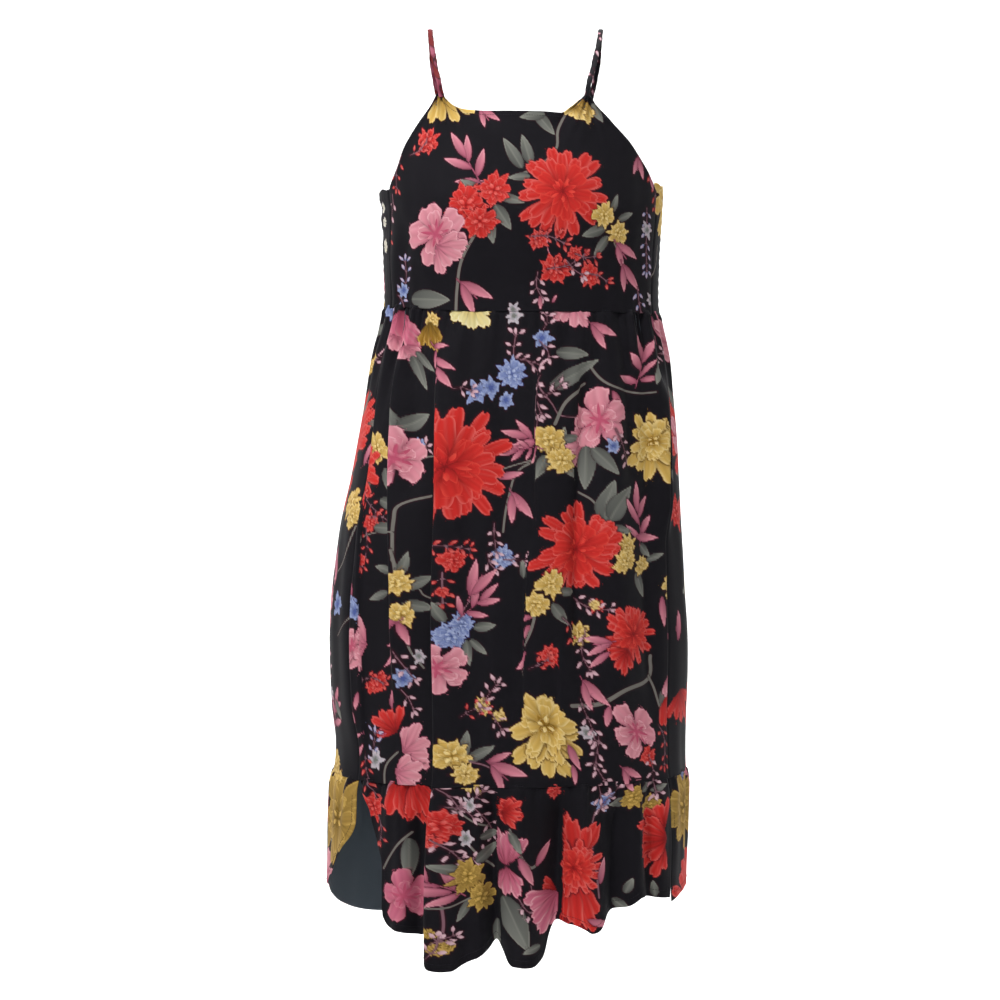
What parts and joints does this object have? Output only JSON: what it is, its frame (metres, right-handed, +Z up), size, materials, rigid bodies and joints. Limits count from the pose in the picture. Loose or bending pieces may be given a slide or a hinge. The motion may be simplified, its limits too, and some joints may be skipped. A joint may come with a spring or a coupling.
{
  "type": "sundress",
  "caption": "Long sundress in dark floral rayon with thin shoulder straps, gathered high neck, shirred back, soft skirt and a vented ruffle, filled out as worn.",
  "frame": {"origin": "midway between the tops of the two shoulder straps, where the garment is held", "axes": "+Z up, the front of the garment faces -Y, +X to the right as seen from the front"},
  "size_m": [0.4614, 0.3378, 1.1637],
  "materials": {
    "rayon": "matte printed woven rayon",
    "rouleau": "matte rolled rayon strap"
  },
  "bodies": {
    "root": {"bodice_front": "rayon", "bodice_back": "rayon", "skirt_front": "rayon", "skirt_back": "rayon", "ruffle_front": "rayon", "ruffle_back": "rayon", "strap_left": "rouleau", "strap_right": "rouleau"}
  },
  "joints": []
}
